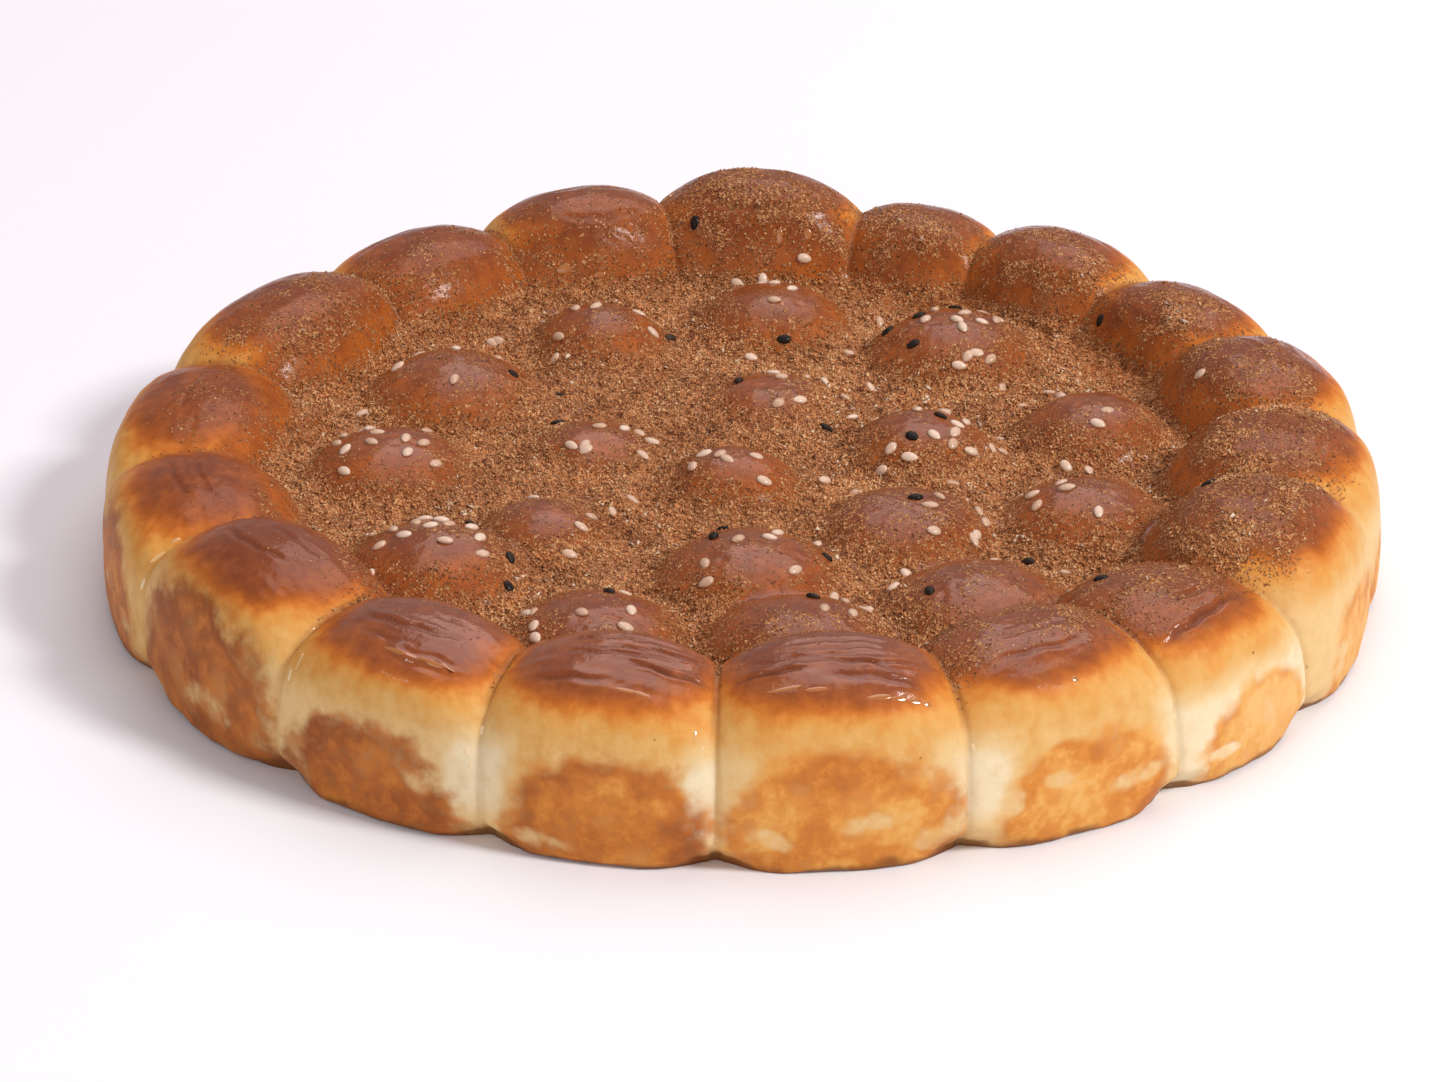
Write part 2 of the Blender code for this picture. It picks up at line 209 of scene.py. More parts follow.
# The skin's mesh: rings of its middle and of its outer part, and how close columns crowd at creases
CORE_RINGS = 130
CORE_EDGE = 0.09
PIVOT_DISTANCE = 0.1085
TOP_RINGS = 44
WALL_RINGS = 118
CROWDING = 0.5
NOMINAL_TOP = 0.037
NOMINAL_WALL = 0.1315
NOMINAL_SHOULDER = 0.019
BEND_SHARE = 1.42

# How far the crust has browned at heights in millimetres up a rim roll's outer side
BAKE_HEIGHTS = (20, 24, 27, 29, 30.5, 31.8, 33.2, 36.5)
BAKE_SHARES = (0.06, 0.12, 0.2, 0.3, 0.44, 0.68, 0.88, 1)

# The fine form, in metres
CREASE_PINCH = 0.0006
CREASE_WIDTH = 0.00045
CREASE_BLEND = 0.0013
CREASE_GLOW = 0.0054
CORNER_INSET = 0.004
CORNER_WIDTH = 0.003
FLOOR_BLEND = 0.0034
FOOT_ROUND = 0.0014
CREPE_RELIEF = 0.00016
OUTER_SIDE = (0.119, 0.127)
INNER_SIDE = (0.102, 0.119)
INSIDE_BOX = 0.992

# The sizes and shifts of the coarse, middle and fine noise in metres, and how high they raise the
# rim rolls, the inner rolls and the powder
NOISES = ((0.016, 3.1), (0.006, 7.7), (0.002, 1.3))
RIM_RELIEF = (0.0003, 0.00012, 0.00003)
INNER_RELIEF = (0.00055, 0.00024, 0.00012)
POWDER_RELIEF = (0.0008, 0.00066, 0.00072)

# Where rays are searched for the skin, as shares of the way to their aims, in how many steps and
# halvings, and how far from its middle a roll can reach
RAY_SHARES = (0.45, 1.3)
RAY_STEPS = 30
RAY_HALVINGS = 11
ROLL_REACH = 0.042

# The seeds of the random draws for the rolls' tones and the voids
TONE_DRAW = 21
VOID_DRAW = 13


def ease(low, high, value):
    """0 below low, 1 above high, and an S between them."""
    share = np.clip((value - low) / (high - low), 0, 1)
    return share * share * (3 - 2 * share)


def noise_at(points, size, shift=0):
    """Soft noise, about -1 to 1, with features of that size in metres."""
    scaled = points / size + shift
    return np.array([noise.noise(Vector(point)) for point in scaled])


def on_bearing(bearing, distance):
    """The plan point at that bearing, in degrees, and distance from the loaf's middle."""
    angle = math.radians(bearing)
    return np.array((distance * math.cos(angle), distance * math.sin(angle)))


# The dough

def rim_rolls(draw):
    """The sizes of the rolls that lean on the pan's wall."""
    bearing = RIM_START
    for share, extra_height, shift, lean, inner_edge in RIM_ROLLS:
        middle = bearing + share / 2
        distance = RIM_DISTANCE + shift / 1000
        size = 1 + draw.uniform(-SIZE_SPREAD, SIZE_SPREAD)
        yield SimpleNamespace(
            centre=on_bearing(middle, distance),
            bearing=math.radians(middle + draw.uniform(-TURN_SPREAD, TURN_SPREAD)),
            reach=(RIM_REACH * size, distance - inner_edge / 1000),
            width=distance * math.radians(share) / 2 * RIM_OVERLAP,
            crown=RIM_CROWN + extra_height / 1000,
            lean=lean / 1000, belly=RIM_BELLY, slump=RIM_SLUMP, powers=RIM_POWERS,
        )
        bearing += share


def inner_rolls(draw):
    """The sizes of the rolls inside the rim."""
    for bearing, distance, crown, radius, *_ in INNER_ROLLS:
        turn = draw.uniform(-TURN_SPREAD, TURN_SPREAD)
        reach = radius / 1000 * (1 + draw.uniform(-SIZE_SPREAD, SIZE_SPREAD))
        width = radius / 1000 * (1 + draw.uniform(-SIZE_SPREAD, SIZE_SPREAD))
        yield SimpleNamespace(
            centre=on_bearing(bearing, distance / 1000), bearing=math.radians(bearing + turn),
            reach=(reach, reach), width=width, crown=crown / 1000,
            lean=0, belly=INNER_BELLY, slump=0, powers=INNER_POWERS,
        )


DRAW = random.Random(LOAF_DRAW)
ROLLS = list(rim_rolls(DRAW)) + list(inner_rolls(DRAW))
RIM_COUNT = len(RIM_ROLLS)
CREASE_BEARINGS = np.radians(RIM_START + np.cumsum([0] + [roll[0] for roll in RIM_ROLLS]))


def unpressed(points):
    """Where the points would lie if the pan's wall had not held the dough in."""
    distance = np.hypot(*points.T[:2])
    tuck = BASE_TUCK * np.maximum(0, 1 - points[:, 2] / TUCK_HEIGHT) ** 2
    start = WALL_RADIUS - tuck - SHOULDER
    share = np.clip((distance - start) / SHOULDER, 0, 0.9999)
    free = np.where(distance > start, start - SHOULDER * np.log(1 - share), distance)
    ratio = free / np.maximum(distance, 1e-9)
    return np.stack([points[:, 0] * ratio, points[:, 1] * ratio, points[:, 2]], axis=1)


def in_roll(roll, points):
    """How far outward and across the roll the points lie."""
    offset = points[:, :2] - roll.centre
    cos, sin = math.cos(roll.bearing), math.sin(roll.bearing)
    return offset[:, 0] * cos + offset[:, 1] * sin, offset[:, 1] * cos - offset[:, 0] * sin


def roll_distance(roll, points):
    """How far outside the roll's skin the points lie, less than 0 inside it."""
    along, across = in_roll(roll, points)
    height = points[:, 2]
    spread = 1 + roll.slump * (1 - height / roll.crown)
    side = across - roll.lean * height / roll.crown
    reach = np.where(along > 0, roll.reach[0], roll.reach[1]) * spread
    above = height - roll.belly
    rise = np.where(above > 0, roll.crown - roll.belly, BELOW_BELLY)
    outer, inner, up = roll.powers
    power = np.where(along > 0, outer, inner)
    plan = np.abs(along / reach) ** power + np.abs(side / (roll.width * spread)) ** power
    size = (plan ** (up / power) + np.abs(above / rise) ** up) ** (1 / up)
    length = np.sqrt(along**2 + side**2 + above**2)
    return length * (1 - 1 / np.maximum(size, 1e-6))


def floor_height(points):
    """The height of the powder that fills the valleys between the rolls."""
    distance = np.hypot(*points.T[:2])
    edges, heights = zip(*VALLEY_FLOOR)
    return np.where(distance < edges[-1], np.interp(distance, edges, heights), -BELOW_BELLY)


def near_rolls(points):
    """For each roll, which of the points may lie on it."""
    plan = points[:, :2]
    return [np.flatnonzero(np.hypot(*(plan - roll.centre).T) < ROLL_REACH) for roll in ROLLS]


def dough_field(points, near):
    """The distance outside the nearest roll and the next one, and the nearest one's number."""
    free = unpressed(points)
    first = np.full(len(points), 1.0)
    second = np.full(len(points), 1.0)
    owner = np.zeros(len(points), int)
    for number, rows in enumerate(near):
        gap = roll_distance(ROLLS[number], free[rows])
        old = first[rows]
        closer = gap < old
        second[rows] = np.where(closer, old, np.minimum(second[rows], gap))
        first[rows] = np.where(closer, gap, old)
        owner[rows[closer]] = number
    return first, second, owner


def outside(points, near):
    """How far outside the loaf the points lie, with the valleys filled."""
    first, second, _ = dough_field(points, near)
    share = np.clip(0.5 + 0.5 * (second - first) / CREASE_BLEND, 0, 1)
    rolls = first - CREASE_BLEND * share * (1 - share)
    floor = points[:, 2] - floor_height(points)
    share = np.clip(0.5 + 0.5 * (floor - rolls) / FLOOR_BLEND, 0, 1)
    return floor * (1 - share) + rolls * share - FLOOR_BLEND * share * (1 - share)


def surface_points(starts, aims):
    """Where the rays from inside the loaf towards the aims leave it for good."""
    near = near_rolls(aims)
    reach = aims - starts
    first, last = RAY_SHARES
    inner = np.full(len(starts), first)
    outer = np.full(len(starts), last)
    open_ray = np.ones(len(starts), bool)
    for share in np.linspace(last, first, RAY_STEPS)[1:]:
        inside = outside(starts + reach * share, near) < 0
        inner[open_ray & inside] = share
        open_ray &= ~inside
        outer[open_ray] = share
    for _ in range(RAY_HALVINGS):
        middle = (inner + outer) / 2
        inside = outside(starts + reach * middle[:, None], near) < 0
        inner = np.where(inside, middle, inner)
        outer = np.where(inside, outer, middle)
    return starts + reach * ((inner + outer) / 2)[:, None]


# The skin's mesh

def core_grid():
    """The square grid of the loaf's middle, bent into a disc: plan points, quads and its edge."""
    steps = np.arange(-CORE_RINGS, CORE_RINGS + 1)
    column, row = np.meshgrid(steps, steps, indexing="ij")
    wide = np.abs(column) >= np.abs(row)
    ring = np.where(wide, column, row).astype(float)
    share = np.where(wide, row, column) / np.where(ring == 0, 1, ring)
    angle = np.where(wide, share * math.pi / 4, math.pi / 2 - share * math.pi / 4)
    distance = ring / CORE_RINGS * CORE_EDGE
    plan = np.stack([distance * np.cos(angle), distance * np.sin(angle)], axis=-1).reshape(-1, 2)
    count = len(steps)
    index = np.arange(count * count).reshape(count, count)
    quads = np.stack([index[:-1, :-1], index[1:, :-1], index[1:, 1:], index[:-1, 1:]], axis=-1)
    edge = index[np.maximum(np.abs(column), np.abs(row)) == CORE_RINGS]
    bearing = np.arctan2(plan[edge, 1], plan[edge, 0])
    order = np.argsort(bearing)
    return plan, quads.reshape(-1, 4), edge[order], bearing[order]


def crowded(bearings):
    """The bearings, moved closer to the creases between the rim rolls."""
    turn = 2 * math.pi
    wrapped = CREASE_BEARINGS[0] + (bearings - CREASE_BEARINGS[0]) % turn
    number = np.clip(np.searchsorted(CREASE_BEARINGS, wrapped, "right") - 1, 0, RIM_COUNT - 1)
    start = CREASE_BEARINGS[number]
    width = CREASE_BEARINGS[number + 1] - start
    share = (wrapped - start) / width
    return bearings - width * CROWDING / turn * np.sin(share * turn)


def outer_profile():
    """Pairs of a start inside the loaf and an aim, as distance and height, over top and wall."""
    for step in range(1, TOP_RINGS + 1):
        distance = CORE_EDGE + (PIVOT_DISTANCE - CORE_EDGE) * step / TOP_RINGS
        yield (distance, 0), (distance, NOMINAL_TOP)
    across, down = NOMINAL_WALL - PIVOT_DISTANCE, NOMINAL_TOP - NOMINAL_SHOULDER
    bend = math.pi / 2 * math.hypot(across, down) / BEND_SHARE
    length = bend + NOMINAL_SHOULDER
    for step in range(1, WALL_RINGS + 1):
        way = length * step / WALL_RINGS
        if way < bend:
            angle = math.pi / 2 * (1 - way / bend)
            distance = PIVOT_DISTANCE + across * math.cos(angle)
            height = NOMINAL_SHOULDER + down * math.sin(angle)
        else:
            distance = NOMINAL_WALL
            height = max(0, NOMINAL_SHOULDER - (way - bend))
        yield (PIVOT_DISTANCE, 0), (distance, height)


def ring_points(bearings, place):
    """A ring of points at that distance and height."""
    distance, height = place
    level = np.full(len(bearings), height)
    return np.stack([distance * np.cos(bearings), distance * np.sin(bearings), level], axis=1)


def band(outer, inner):
    """The quads between two rings of points."""
    return np.stack([outer, inner, np.roll(inner, -1), np.roll(outer, -1)], axis=1)


def skin_grid():
    """The loaf's skin without its fine form: points, quads, and the ring where it meets the floor."""
    plan, quads, edge, bearing = core_grid()
    flat = np.zeros(len(plan))
    starts = [np.column_stack([plan, flat])]
    aims = [np.column_stack([plan, flat + NOMINAL_TOP])]
    faces = [quads]
    columns = len(edge)
    last = edge
    total = len(plan)
    packed = crowded(bearing)
    for step, (start, aim) in enumerate(outer_profile()):
        blend = ease(0, 1, (step + 1) / TOP_RINGS)
        bearings = bearing * (1 - blend) + packed * blend
        starts.append(ring_points(bearings, start))
        aims.append(ring_points(bearings, aim))
        ring = total + np.arange(columns)
        faces.append(band(last, ring))
        last = ring
        total += columns
    points = surface_points(np.concatenate(starts), np.concatenate(aims))
    return points, np.concatenate(faces), last


def quad_crosses(corners):
    """The cross product of each quad's diagonals."""
    return np.cross(corners[:, 2] - corners[:, 0], corners[:, 3] - corners[:, 1])


def point_normals(points, quads):
    """The skin's direction at each point."""
    face = quad_crosses(points[quads])
    corner = quads.ravel()
    sums = [np.bincount(corner, np.repeat(values, 4), len(points)) for values in face.T]
    total = np.stack(sums, axis=1)
    return total / np.linalg.norm(total, axis=1)[:, None]


def fold_relief(points, owner):
    """How high the folds in the rim rolls' skin stand at each point, and how deep in one it is: painted
    shade.
    """
    relief = np.zeros(len(points))
    inside = np.zeros(len(points))
    for number, first, first_out, last, last_out, bow, depth, width in FOLDS:
        rows = np.flatnonzero(owner == number)
        along, across = in_roll(ROLLS[number], points[rows])
        share = (across * 1000 - first) / (last - first) * 2 - 1
        line = first_out + (last_out - first_out) * (share + 1) / 2 + bow * (1 - share**2)
        line += FOLD_WAVER * np.sin(across * 900 + 2 * number)
        fade = np.clip(1 - np.abs(share) ** 3, 0, 1)
        off = (along * 1000 - line) / width
        groove = np.exp(-(off**2)) * fade
        lips = (0.45 * np.exp(-((off - 2) ** 2)) + 0.4 * np.exp(-((off + 2) ** 2))) * fade
        relief[rows] += depth / 1000 * (lips - groove)
        # How deep in a groove each point lies, which the crust darkens as painted shade
        inside[rows] = np.maximum(inside[rows], groove * np.clip(depth / FOLD_SHADE_DEPTH, 0, 1))
    return relief, inside


def crepe(points, owner):
    """Fine noise drawn out along the rim, as baked skin puckers."""
    values = np.zeros(len(points))
    for number in range(RIM_COUNT):
        rows = np.flatnonzero(owner == number)
        along, across = in_roll(ROLLS[number], points[rows])
        place = np.stack([across, along * 4.2, np.full(len(rows), 0.031 * number)], axis=1)
        values[rows] = noise_at(place, 0.0085, 2.6)
    return values


def loaf_form():
    """The loaf's points, faces and the measures that its crust is coloured by."""
    points, quads, foot = skin_grid()
    near = near_rolls(points)
    first, second, owner = dough_field(points, near)
    normal = point_normals(points, quads)
    rim = owner < RIM_COUNT
    distance = np.hypot(*points.T[:2])
    height = points[:, 2]
    facing_up = normal[:, 2]

    gap = np.maximum(second - first, 0) / 2
    crease = np.exp(-((gap / CREASE_WIDTH) ** 2))
    crease_mid = np.exp(-((gap / (CREASE_WIDTH * 1.5)) ** 2))
    noises = [noise_at(points, size, shift) for size, shift in NOISES]
    coarse, middle, fine = noises
    outer_side = ease(*OUTER_SIDE, distance)

    above_floor = height - floor_height(points)
    bank = ease(0.003, 0.0006, above_floor + 0.0006 * middle)
    valley = np.where(distance < VALLEY_FLOOR[-1][0], bank, 0)
    rises = zip(RIM_RELIEF, INNER_RELIEF, noises)
    relief = sum(np.where(rim, outer, inner) * value for outer, inner, value in rises)
    relief -= CREASE_PINCH * crease * np.where(rim, 1, 0.3) * (1 - valley)
    corner = np.exp(-((gap / CORNER_WIDTH) ** 2)) * ease(0.0065, 0, height) * outer_side
    relief -= CORNER_INSET * corner
    # The folds' form, and how deep in their grooves the points lie, for painted shade
    folds, fold_shade = fold_relief(points, owner)
    top = ease(0.35, 0.75, facing_up) * rim * (1 - valley)
    relief += folds + CREPE_RELIEF * crepe(points, owner) * top
    relief += valley * sum(rise * value for rise, value in zip(POWDER_RELIEF, noises))

    shape = SimpleNamespace(
        rim=rim, owner=owner, height=height, distance=distance, facing_up=facing_up,
        crease=crease, crease_mid=crease_mid, beside=np.exp(-((gap / CREASE_GLOW) ** 2)),
        coarse=coarse, middle=middle, fine=fine, outer_side=outer_side,
        valley=valley, above_floor=above_floor, fold_shade=fold_shade,
    )
    measures, voids = crust_measures(points, shape)
    relief += 0.0001 * fine * measures["dust"] - 0.00015 * voids
    points = points + normal * relief[:, None]

    uneven = 0.8 * noise_at(points, 0.011, 5.5) + 0.6 * noise_at(points, 0.0045, 4.5)
    foot_round = FOOT_ROUND * np.clip(1 + uneven, 0.25, 2.2)
    low = np.clip(1 - points[:, 2] / foot_round, 0, 1)
    inset = foot_round * (1 - np.sqrt(1 - low**2)) * outer_side
    points[:, :2] *= (1 - inset / np.maximum(distance, 1e-6))[:, None]
    points[:, 2] = np.maximum(points[:, 2], 0)
    points[foot, 2] = 0
    points *= INSIDE_BOX
    return points, quads, foot, measures


def wall_voids():
    """The listed voids, and a few at random on the rolls that the list leaves out."""
    yield from VOIDS
    draw = random.Random(VOID_DRAW)
    listed = {void[0] for void in VOIDS}
    for number in range(RIM_COUNT):
        for _ in range(0 if number in listed else 2):
            yield number, *(draw.uniform(*span) for span in VOID_SPANS)


def pan_patches(points, shape, marks):
    """How much of the wall the pan browned at each point, and its pale voids."""
    owner = shape.owner
    height = shape.height * 1000
    wall = shape.outer_side * shape.rim
    across = np.zeros(len(points))
    for number in range(RIM_COUNT):
        rows = np.flatnonzero(owner == number)
        across[rows] = in_roll(ROLLS[number], points[rows])[1]
    voids = np.zeros(len(points))
    ragged = 0.9 * shape.middle + 0.9 * shape.fine
    for number, middle, level, length, tall, slope in wall_voids():
        rows = np.flatnonzero(owner == number)
        side = across[rows] * 1000 - middle
        spot = (side / length) ** 2 + ((height[rows] - level - slope * side) / tall) ** 2
        voids[rows] = np.maximum(voids[rows], ease(1.9, 0.2, spot + ragged[rows]))
    voids *= wall * np.clip(1.15 - 0.6 * marks[:, 1], 0, 1)
    across /= np.array([roll.width / RIM_OVERLAP for roll in ROLLS])[owner]
    top, _, width, shift = marks.T[:4]
    low = 0.3 * top
    rise = np.maximum(height - low, 0) / np.maximum(top - low, 1)
    arch = (np.abs(across - shift) / np.maximum(width, 0.1)) ** 2.5 + rise**2
    arch += 0.3 * shape.coarse + 0.28 * shape.middle + 0.13 * shape.fine
    patch = ease(1.42, 0.54, arch)
    patch *= 1 - 0.28 * ease(0, 0.6, noise_at(points, 0.008, 8.8))
    edge = np.exp(-(((arch - 0.7) / 0.22) ** 2))
    return across, patch * (1 - 0.7 * voids) * wall, voids, edge * wall


def crust_measures(points, shape):
    """How baked, browned by the pan, dusted, pinched and glazed the crust is at each point."""
    height = shape.height * 1000
    rim, owner, distance = shape.rim, shape.owner, shape.distance
    coarse, middle, fine = shape.coarse, shape.middle, shape.fine
    draw = random.Random(TONE_DRAW)
    roll_tone = np.array([draw.uniform(-1, 1) for _ in ROLLS])[owner]
    crown = np.array([roll.crown for roll in ROLLS])[owner] * 1000
    bare = ((1,) + (0,) * 8,) * (len(ROLLS) - RIM_COUNT)
    marks = np.array(RIM_BAKES + bare)[owner]

    browned = height - 0.7 * (crown - RIM_CROWN * 1000) * rim
    browned += 0.9 * coarse + 0.6 * middle + 0.3 * fine + 0.6 * roll_tone
    bake_rim = np.interp(browned, BAKE_HEIGHTS, BAKE_SHARES)
    inner_side = 1 - ease(*INNER_SIDE, distance)
    inner_bake = 0.81 + 0.15 * ease(25, 35, height) + 0.06 * coarse
    bake_rim = np.maximum(bake_rim, inner_side * inner_bake)
    steep = ease(0.85, 0.45, shape.facing_up) * ease(0.3, 0.7, bake_rim)
    bake_rim -= 0.24 * shape.beside * steep * (1 - 0.75 * inner_side)
    slope = ease(0.975, 0.86, shape.facing_up)
    bake_inner = np.clip(0.97 - 0.09 * slope + 0.08 * coarse, 0, 1)
    bake = np.where(rim, bake_rim, bake_inner)

    across, patch, voids, edge = pan_patches(points, shape, marks)
    end = ease(0.6, 1.02, np.abs(across) + 0.1 * middle)
    end *= np.where(across > 0, marks[:, 8], marks[:, 7])
    end *= ease(29, 20, browned) * (0.45 + 0.55 * ease(3, 12, height))
    pale = np.maximum(end, marks[:, 4] * ease(28.5, 20, browned))
    pale = np.maximum(pale, 0.58 * voids) * rim * (1 - inner_side)

    loose = ease(-0.3, 0.45, 0.7 * middle + 0.6 * coarse + 0.25 * fine)
    feet = ease(0.0085, 0.0004, shape.above_floor + 0.0022 * middle + 0.0008 * fine)
    wet = ease(0.05, 0.65, 0.8 * coarse - 0.6 * middle)
    skirt = ease(0.005, 0.0004, shape.above_floor + 0.0018 * middle + 0.0006 * fine)
    valley_dust = shape.valley * (1 - 0.3 * wet)
    dust_inner = np.maximum(valley_dust, 0.22 + 0.26 * loose + 0.16 * slope + 0.36 * skirt)
    thick = marks[:, 5]
    crown_side = ease(0.122 + 0.008 * thick, 0.1095 + 0.008 * thick, distance)
    dust_rim = crown_side * thick * (0.46 + 0.42 * loose) * ease(23, 31, height)
    foot_dust = (0.35 + 0.35 * loose + 0.35 * feet) * feet * inner_side
    seam = shape.crease_mid * ease(20, 30, height) * ease(0.133, 0.11, distance)
    seam *= 0.4 + 0.6 * loose
    thin = inner_side * (0.24 + 0.28 * loose) * (0.5 + 0.5 * slope)
    dust_rim = np.maximum.reduce([dust_rim, foot_dust, seam * 0.85, thin])
    dust = np.where(rim, dust_rim, dust_inner)
    gloss = np.maximum(ease(30.5, 34, browned), inner_side * (0.12 + 0.36 * loose)) * marks[:, 6]
    glaze = np.where(rim, gloss, 0.75 - 0.48 * slope + 0.12 * loose)
    foot = ease(2, 0.2, height + 1.4 * middle + 0.9 * fine + 0.7 * coarse)
    measures = {
        "bake": bake, "patch": patch, "dust": dust, "pale": pale, "glaze": glaze, "fold_shade": shape.fold_shade,
        "crease": shape.crease * rim * (0.22 + 0.78 * ease(25, 30, height)),
        "dark": np.clip(marks[:, 1] - 0.03 + 0.2 * edge + 0.12 * coarse, 0, 1),
        "foot": foot * shape.outer_side,
    }
    return measures, voids


# Making pieces

def new_mesh(name, points, faces):
    """A mesh of triangles, from arrays."""
    mesh = bpy.data.meshes.new(name)
    mesh.vertices.add(len(points))
    mesh.vertices.foreach_set("co", points.astype(np.float32).ravel())
    mesh.loops.add(faces.size)
    mesh.loops.foreach_set("vertex_index", faces.astype(np.int32).ravel())
    mesh.polygons.add(len(faces))
    mesh.polygons.foreach_set("loop_start", np.arange(0, faces.size, 3, dtype=np.int32))
    mesh.update(calc_edges=True)
    return mesh


def add_measure(mesh, name, values):
    """Gives the mesh a number at each point."""
    mesh.attributes.new(name, "FLOAT", "POINT").data.foreach_set("value", values.astype(np.float32))


def new_piece(name, mesh, material):
    """A piece of the bread, which rides with it."""
    piece = bpy.data.objects.new(name, mesh)
    bpy.context.scene.collection.objects.link(piece)
    mesh.materials.append(material)
    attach(piece, "root")
    return piece


def make_loaf(material):
    """The loaf: its skin, and the flat base that it rests on."""
    points, quads, foot, measures = loaf_form()
    count = len(points)
    base = [points[foot] * (share, share, 0) for share in (0.97, 0.6)]
    points = np.concatenate([points, *base, np.zeros((1, 3))])
    outer = count + np.arange(len(foot))
    inner = outer + len(foot)
    squares = np.concatenate([quads, band(foot, outer), band(outer, inner)])
    fan = np.stack([inner, np.full(len(foot), len(points) - 1), np.roll(inner, -1)], axis=1)
    triangles = np.concatenate([squares[:, [0, 1, 2]], squares[:, [0, 2, 3]], fan])
    mesh = new_mesh("loaf", points, triangles)
    mesh.shade_smooth()
    under = {"bake": 0.1, "patch": 0.9, "dark": 0.6}
    for name, values in measures.items():
        extra = np.full(len(points) - count, under.get(name, 0.0))
        add_measure(mesh, name, np.concatenate([values, extra]))
    loaf = new_piece("loaf", mesh, material)
    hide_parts("bread")
    return loaf, points[:count], quads, measures


# Materials

class Shader:
    """A material's nodes, added one by one."""

    def __init__(self, name):
        self.material = bpy.data.materials.new(name)
        self.material.use_nodes = True
        self.tree = self.material.node_tree
        self.main = self.tree.nodes["Principled BSDF"]
        self.place = self.add("ShaderNodeTexCoord").outputs["Object"]

    def fill(self, node, values):
        """Sets or links the node's sockets, by name or number."""
        for socket, value in values.items():
            if isinstance(value, bpy.types.NodeSocket):
                self.tree.links.new(value, node.inputs[socket])
            else:
                node.inputs[socket].default_value = value

    def add(self, kind, values=(), **settings):
        node = self.tree.nodes.new(kind)
        for name, value in settings.items():
            setattr(node, name, value)
        self.fill(node, dict(values))
        return node

    def set(self, **values):
        self.fill(self.main, {name.replace("_", " "): value for name, value in values.items()})

    def measure(self, name):
        return self.add("ShaderNodeAttribute", attribute_name=name).outputs["Fac"]

    def noise(self, size, detail=2, rough=0.6, place=None):
        values = {"Vector": place or self.place, "Scale": 1 / size, "Detail": detail, "Roughness": rough}
        return self.add("ShaderNodeTexNoise", values).outputs["Fac"]

    def math(self, operation, *values, clamp=False):
        numbered = enumerate(values)
        return self.add("ShaderNodeMath", numbered, operation=operation, use_clamp=clamp).outputs[0]

    def times(self, first, second):
        return self.math("MULTIPLY", first, second)

    def span(self, value, low, high, new_low=0, new_high=1):
        names = "Value", "From Min", "From Max", "To Min", "To Max"
        values = zip(names, (value, low, high, new_low, new_high))
        return self.add("ShaderNodeMapRange", values, interpolation_type="SMOOTHSTEP").outputs["Result"]

    def shifted(self, value, pattern, amount, clamp=False):
        """The value with the pattern added, from less by the amount to more by it."""
        return self.math("ADD", value, self.span(pattern, 0.3, 0.7, -amount, amount), clamp=clamp)

    def ramp(self, value, stops):
        node = self.add("ShaderNodeValToRGB", {"Fac": value})
        marks = node.color_ramp.elements
        while len(marks) < len(stops):
            marks.new(0.5)
        for mark, (place, colour) in zip(marks, stops):
            mark.position = place
            mark.color = (*colour, 1)
        return node.outputs["Color"]

    def mix(self, share, first, second, blend="MIX"):
        values = {"Factor": share}
        for socket, value in ((6, first), (7, second)):
            values[socket] = value if isinstance(value, bpy.types.NodeSocket) else (*value, 1)
        return self.add("ShaderNodeMix", values, data_type="RGBA", blend_type=blend).outputs[2]

    def bump(self, height, strength, distance, under=None):
        values = {"Strength": strength, "Distance": distance, "Height": height}
        if under is not None:
            values["Normal"] = under
        return self.add("ShaderNodeBump", values).outputs["Normal"]


# Colours from the least to the most: how far the dough has baked, how dark the pan browned it, the
# dust's specks, how high the syrup lies, and a seed's own tone, which is lower on stray seeds
DOUGH = (
    (0, (0.74, 0.45, 0.165)), (0.18, (0.7, 0.37, 0.106)), (0.32, (0.7, 0.32, 0.072)),
    (0.5, (0.62, 0.2, 0.032)), (0.68, (0.46, 0.12, 0.016)), (0.84, (0.33, 0.078, 0.011)),
    (1, (0.215, 0.045, 0.009)),
)
PAN = (
    (0, (0.78, 0.45, 0.155)), (0.25, (0.73, 0.345, 0.08)), (0.45, (0.64, 0.235, 0.043)),
    (0.65, (0.53, 0.168, 0.03)), (0.85, (0.41, 0.118, 0.023)), (1, (0.3, 0.082, 0.018)),
)
DUST = (
    (0, (0.16, 0.055, 0.02)), (0.25, (0.42, 0.152, 0.054)), (0.72, (0.64, 0.262, 0.095)),
    (1, (0.8, 0.47, 0.22)),
)
SPECK_SIZE = 0.00042
SYRUP_COLOURS = ((0, (0.84, 0.62, 0.34)), (0.45, (0.76, 0.44, 0.15)), (1, (0.42, 0.14, 0.03)))
PALE_SEED = (
    (0, (0.46, 0.25, 0.14)), (0.3, (0.62, 0.4, 0.27)), (0.65, (0.73, 0.53, 0.4)), (1, (0.82, 0.65, 0.53)),
)
DARK_SEED = ((0, (0.008, 0.005, 0.004)), (0.7, (0.022, 0.014, 0.01)), (1, (0.07, 0.04, 0.022)))


